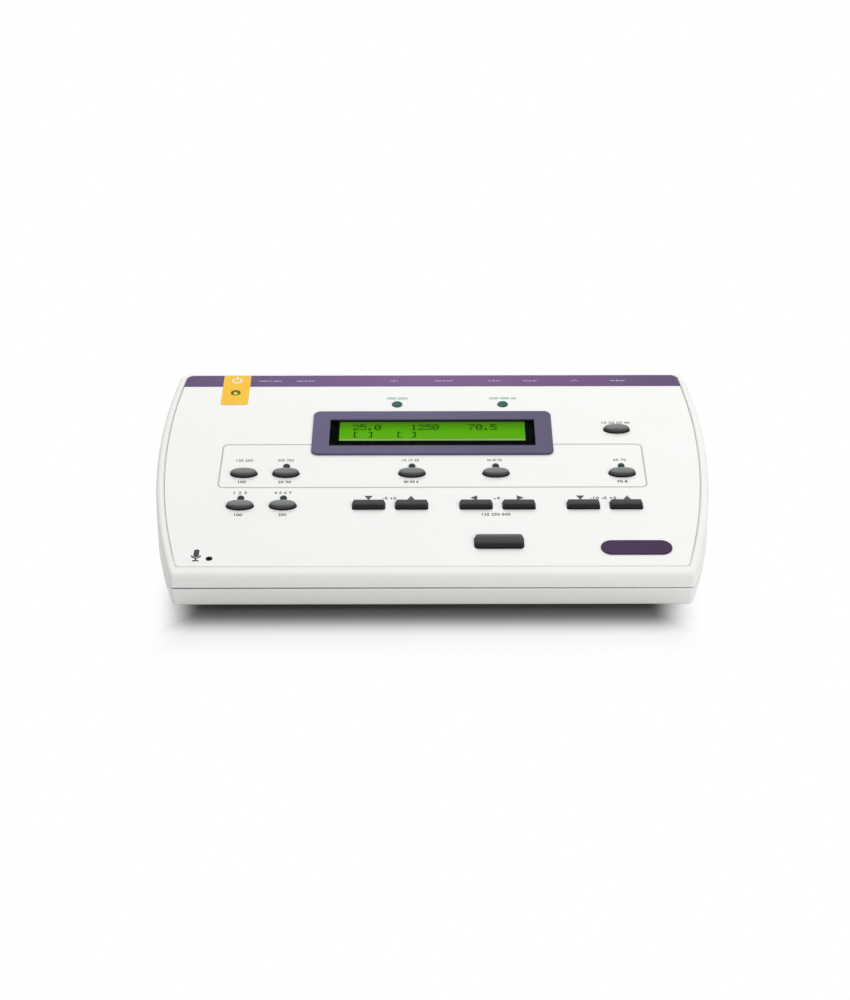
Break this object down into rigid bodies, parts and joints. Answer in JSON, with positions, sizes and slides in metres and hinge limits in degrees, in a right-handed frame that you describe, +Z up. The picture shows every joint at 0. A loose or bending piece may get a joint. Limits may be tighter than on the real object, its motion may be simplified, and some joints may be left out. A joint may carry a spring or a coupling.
{
  "type": "diagnostic audiometer",
  "caption": "Wedge-shaped desktop audiometer with curved sides, a backlit display, press keys, indicator lights and rear sockets.",
  "frame": {"origin": "on the table, under the middle of the case", "axes": "+X to the user's right, +Y to the rear, +Z up"},
  "size_m": [0.2674, 0.165, 0.06],
  "materials": {
    "case_plastic": "off-white moulded ABS with a fine satin texture",
    "panel_film": "white printed polyester film",
    "strip_film": "purple printed film with white marks",
    "tag_film": "yellow printed film",
    "badge_plastic": "dark purple domed label, bare",
    "bezel_plastic": "purple moulded plastic, satin",
    "window_acrylic": "clear acrylic pane",
    "display_sheet": "black lacquered sheet steel",
    "display_glass": "green backlit liquid crystal glass",
    "backlight_plastic": "translucent white diffuser",
    "board_laminate": "green solder-masked laminate",
    "black_plastic": "black moulded thermoplastic",
    "oval_key_rubber": "grey-green silicone rubber",
    "block_key_rubber": "dark grey silicone rubber",
    "green_lens": "green tinted epoxy lens",
    "dark_lens": "dark green epoxy lens, unlit",
    "plate_metal": "light grey powder-coated aluminium",
    "nickel": "bright nickel plate",
    "screw_steel": "zinc-plated steel",
    "foot_rubber": "black soft rubber",
    "cable_grey": "grey vinyl ribbon"
  },
  "bodies": {
    "console": {"upper_case": "case_plastic", "lower_case": "case_plastic", "rear_panel": "plate_metal", "panel_overlay": "panel_film", "socket_label_strip": "strip_film", "power_tag": "tag_film", "badge": "badge_plastic", "display_bezel": "bezel_plastic", "display_window": "window_acrylic", "lcd_frame": "display_sheet", "lcd_glass": "display_glass", "lcd_backlight": "backlight_plastic", "lcd_board": "board_laminate", "display_header": "black_plastic", "display_screws": "screw_steel", "main_board": "board_laminate", "main_board_screws": "screw_steel", "key_switches": "black_plastic", "integrated_circuits": "black_plastic", "status_lights": "green_lens", "key_lights": "dark_lens", "power_light": "green_lens", "microphone": "black_plastic", "jack_sockets": "black_plastic", "jack_nuts": "nickel", "data_connector_shell": "nickel", "data_connector_core": "black_plastic", "data_screw_posts": "nickel", "power_inlet": "black_plastic", "switch_housing": "black_plastic", "socket_board": "board_laminate", "socket_board_screws": "screw_steel", "ribbon_plugs": "black_plastic", "ribbon_cable": "cable_grey", "case_screws": "screw_steel", "feet": "foot_rubber", "foot_screws": "screw_steel"},
    "oval_key_1": {"oval_key_1": "oval_key_rubber"},
    "oval_key_2": {"oval_key_2": "oval_key_rubber"},
    "oval_key_3": {"oval_key_3": "oval_key_rubber"},
    "oval_key_4": {"oval_key_4": "oval_key_rubber"},
    "oval_key_5": {"oval_key_5": "oval_key_rubber"},
    "oval_key_6": {"oval_key_6": "oval_key_rubber"},
    "oval_key_7": {"oval_key_7": "oval_key_rubber"},
    "oval_key_8": {"oval_key_8": "oval_key_rubber"},
    "level_down_key": {"level_down_key": "block_key_rubber"},
    "level_up_key": {"level_up_key": "block_key_rubber"},
    "pitch_down_key": {"pitch_down_key": "block_key_rubber"},
    "pitch_up_key": {"pitch_up_key": "block_key_rubber"},
    "masking_down_key": {"masking_down_key": "block_key_rubber"},
    "masking_up_key": {"masking_up_key": "block_key_rubber"},
    "tone_key": {"tone_key": "block_key_rubber"},
    "rocker": {"power_rocker": "black_plastic"}
  },
  "joints": [
    {"name": "oval_key_1_press", "type": "slide", "parent": "console", "child": "oval_key_1", "axis": [0, 0.2419, -0.9703], "range_m": [0, 0.0012], "stiffness_N_per_m": 800, "springref_m": -0.0005},
    {"name": "oval_key_2_press", "type": "slide", "parent": "console", "child": "oval_key_2", "axis": [0, 0.2419, -0.9703], "range_m": [0, 0.0012], "stiffness_N_per_m": 800, "springref_m": -0.0005},
    {"name": "oval_key_3_press", "type": "slide", "parent": "console", "child": "oval_key_3", "axis": [0, 0.2419, -0.9703], "range_m": [0, 0.0012], "stiffness_N_per_m": 800, "springref_m": -0.0005},
    {"name": "oval_key_4_press", "type": "slide", "parent": "console", "child": "oval_key_4", "axis": [0, 0.2419, -0.9703], "range_m": [0, 0.0012], "stiffness_N_per_m": 800, "springref_m": -0.0005},
    {"name": "oval_key_5_press", "type": "slide", "parent": "console", "child": "oval_key_5", "axis": [0, 0.2419, -0.9703], "range_m": [0, 0.0012], "stiffness_N_per_m": 800, "springref_m": -0.0005},
    {"name": "oval_key_6_press", "type": "slide", "parent": "console", "child": "oval_key_6", "axis": [0, 0.2419, -0.9703], "range_m": [0, 0.0012], "stiffness_N_per_m": 800, "springref_m": -0.0005},
    {"name": "oval_key_7_press", "type": "slide", "parent": "console", "child": "oval_key_7", "axis": [0, 0.2419, -0.9703], "range_m": [0, 0.0012], "stiffness_N_per_m": 800, "springref_m": -0.0005},
    {"name": "oval_key_8_press", "type": "slide", "parent": "console", "child": "oval_key_8", "axis": [0, 0.2419, -0.9703], "range_m": [0, 0.0012], "stiffness_N_per_m": 800, "springref_m": -0.0005},
    {"name": "level_down_key_press", "type": "slide", "parent": "console", "child": "level_down_key", "axis": [0, 0.2419, -0.9703], "range_m": [0, 0.0012], "stiffness_N_per_m": 800, "springref_m": -0.0005},
    {"name": "level_up_key_press", "type": "slide", "parent": "console", "child": "level_up_key", "axis": [0, 0.2419, -0.9703], "range_m": [0, 0.0012], "stiffness_N_per_m": 800, "springref_m": -0.0005},
    {"name": "pitch_down_key_press", "type": "slide", "parent": "console", "child": "pitch_down_key", "axis": [0, 0.2419, -0.9703], "range_m": [0, 0.0012], "stiffness_N_per_m": 800, "springref_m": -0.0005},
    {"name": "pitch_up_key_press", "type": "slide", "parent": "console", "child": "pitch_up_key", "axis": [0, 0.2419, -0.9703], "range_m": [0, 0.0012], "stiffness_N_per_m": 800, "springref_m": -0.0005},
    {"name": "masking_down_key_press", "type": "slide", "parent": "console", "child": "masking_down_key", "axis": [0, 0.2419, -0.9703], "range_m": [0, 0.0012], "stiffness_N_per_m": 800, "springref_m": -0.0005},
    {"name": "masking_up_key_press", "type": "slide", "parent": "console", "child": "masking_up_key", "axis": [0, 0.2419, -0.9703], "range_m": [0, 0.0012], "stiffness_N_per_m": 800, "springref_m": -0.0005},
    {"name": "tone_key_press", "type": "slide", "parent": "console", "child": "tone_key", "axis": [0, 0.2419, -0.9703], "range_m": [0, 0.0012], "stiffness_N_per_m": 800, "springref_m": -0.0005},
    {"name": "power_rocker_tilt", "type": "hinge", "parent": "console", "child": "rocker", "pos_m": [-0.102, 0.0772, 0.0275], "axis": [1, 0, 0], "range_deg": [0, 14]}
  ]
}
